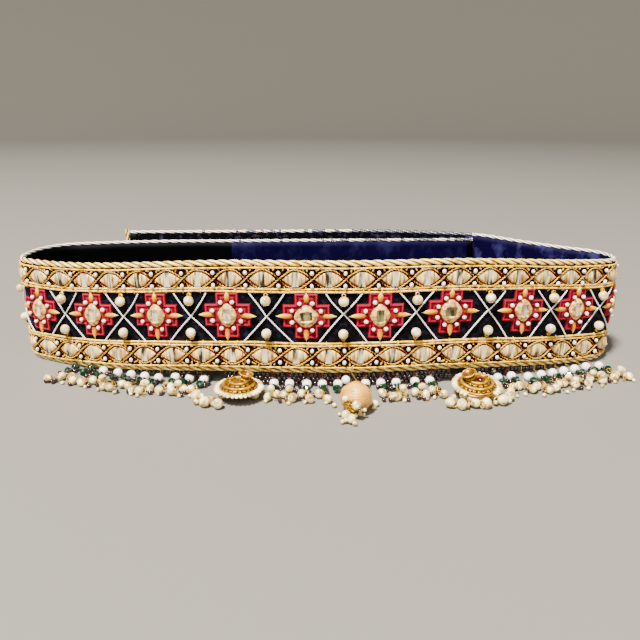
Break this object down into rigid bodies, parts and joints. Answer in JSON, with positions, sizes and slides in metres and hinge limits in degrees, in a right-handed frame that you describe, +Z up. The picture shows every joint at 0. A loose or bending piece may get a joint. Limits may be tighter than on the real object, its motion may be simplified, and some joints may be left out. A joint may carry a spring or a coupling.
{
  "type": "embroidered waist belt",
  "caption": "Stiffened cloth waist belt closed into a standing loop, with mirror, pearl and thread embroidery, rope edges and a beaded fringe along the front.",
  "frame": {"origin": "middle of the bounding box in X and Y, on the surface the belt stands on", "axes": "+X to the right along the front as seen by the viewer, +Y from the front to the overlapped back, +Z up, the way the belt is worn"},
  "size_m": [0.3416, 0.1516, 0.068],
  "materials": {
    "navy_cloth": "matt woven cloth over a stiffened core",
    "satin_lining": "navy satin with a soft sheen and creases",
    "hook_tape": "matt tape with small stiff hooks",
    "loop_tape": "matt tape with a napped loop face",
    "gold_rope": "twisted metallic thread, satin gold",
    "gold_braid": "couched metallic cord",
    "eye_mirrors": "almond mirror pieces in pale gold tissue",
    "red_embroidery": "padded red embroidery with orange petal ends",
    "centre_mirror": "square mirror glass on a gold tissue plate",
    "white_pearl": "lustrous white pearl",
    "bead_thread": "fine gold thread",
    "green_bead": "dark green faceted bead",
    "cream_pearl": "uneven cream pearl",
    "gilt_metal": "polished gilt filigree",
    "pink_bead": "large pale pink pearl",
    "gilt_bead": "cream-gold bead"
  },
  "bodies": {
    "root": {"band": "navy_cloth", "lining": "satin_lining", "closure_hook": "hook_tape", "closure_loop": "loop_tape", "top_rope": "gold_rope", "bottom_rope": "gold_rope", "end_rope": "gold_rope", "border_lines": "gold_braid", "upper_border": "eye_mirrors", "lower_border": "eye_mirrors", "field_pearls": "white_pearl", "fringe_threads": "bead_thread", "white_pearls": "white_pearl", "green_beads": "green_bead", "cream_pearls": "cream_pearl", "bell_left": "gilt_metal", "bell_right": "gilt_metal", "bell_pearls": "cream_pearl", "pink_ball": "pink_bead", "ball_tail": "gilt_bead", "cross_1": "red_embroidery", "cross_2": "red_embroidery", "cross_3": "red_embroidery", "cross_4": "red_embroidery", "cross_5": "red_embroidery", "cross_6": "red_embroidery", "cross_7": "red_embroidery", "cross_8": "red_embroidery", "cross_9": "red_embroidery", "cross_10": "red_embroidery", "cross_11": "red_embroidery", "cross_12": "red_embroidery", "cross_13": "red_embroidery", "cross_14": "red_embroidery", "cross_15": "red_embroidery", "cross_16": "red_embroidery", "cross_17": "red_embroidery", "cross_18": "red_embroidery", "cross_19": "red_embroidery", "centre_mirror_1": "centre_mirror", "centre_mirror_2": "centre_mirror", "centre_mirror_3": "centre_mirror", "centre_mirror_4": "centre_mirror", "centre_mirror_5": "centre_mirror", "centre_mirror_6": "centre_mirror", "centre_mirror_7": "centre_mirror", "centre_mirror_8": "centre_mirror", "centre_mirror_9": "centre_mirror", "centre_mirror_10": "centre_mirror", "centre_mirror_11": "centre_mirror", "centre_mirror_12": "centre_mirror", "centre_mirror_13": "centre_mirror", "centre_mirror_14": "centre_mirror", "centre_mirror_15": "centre_mirror", "centre_mirror_16": "centre_mirror", "centre_mirror_17": "centre_mirror", "centre_mirror_18": "centre_mirror", "centre_mirror_19": "centre_mirror"}
  },
  "joints": []
}
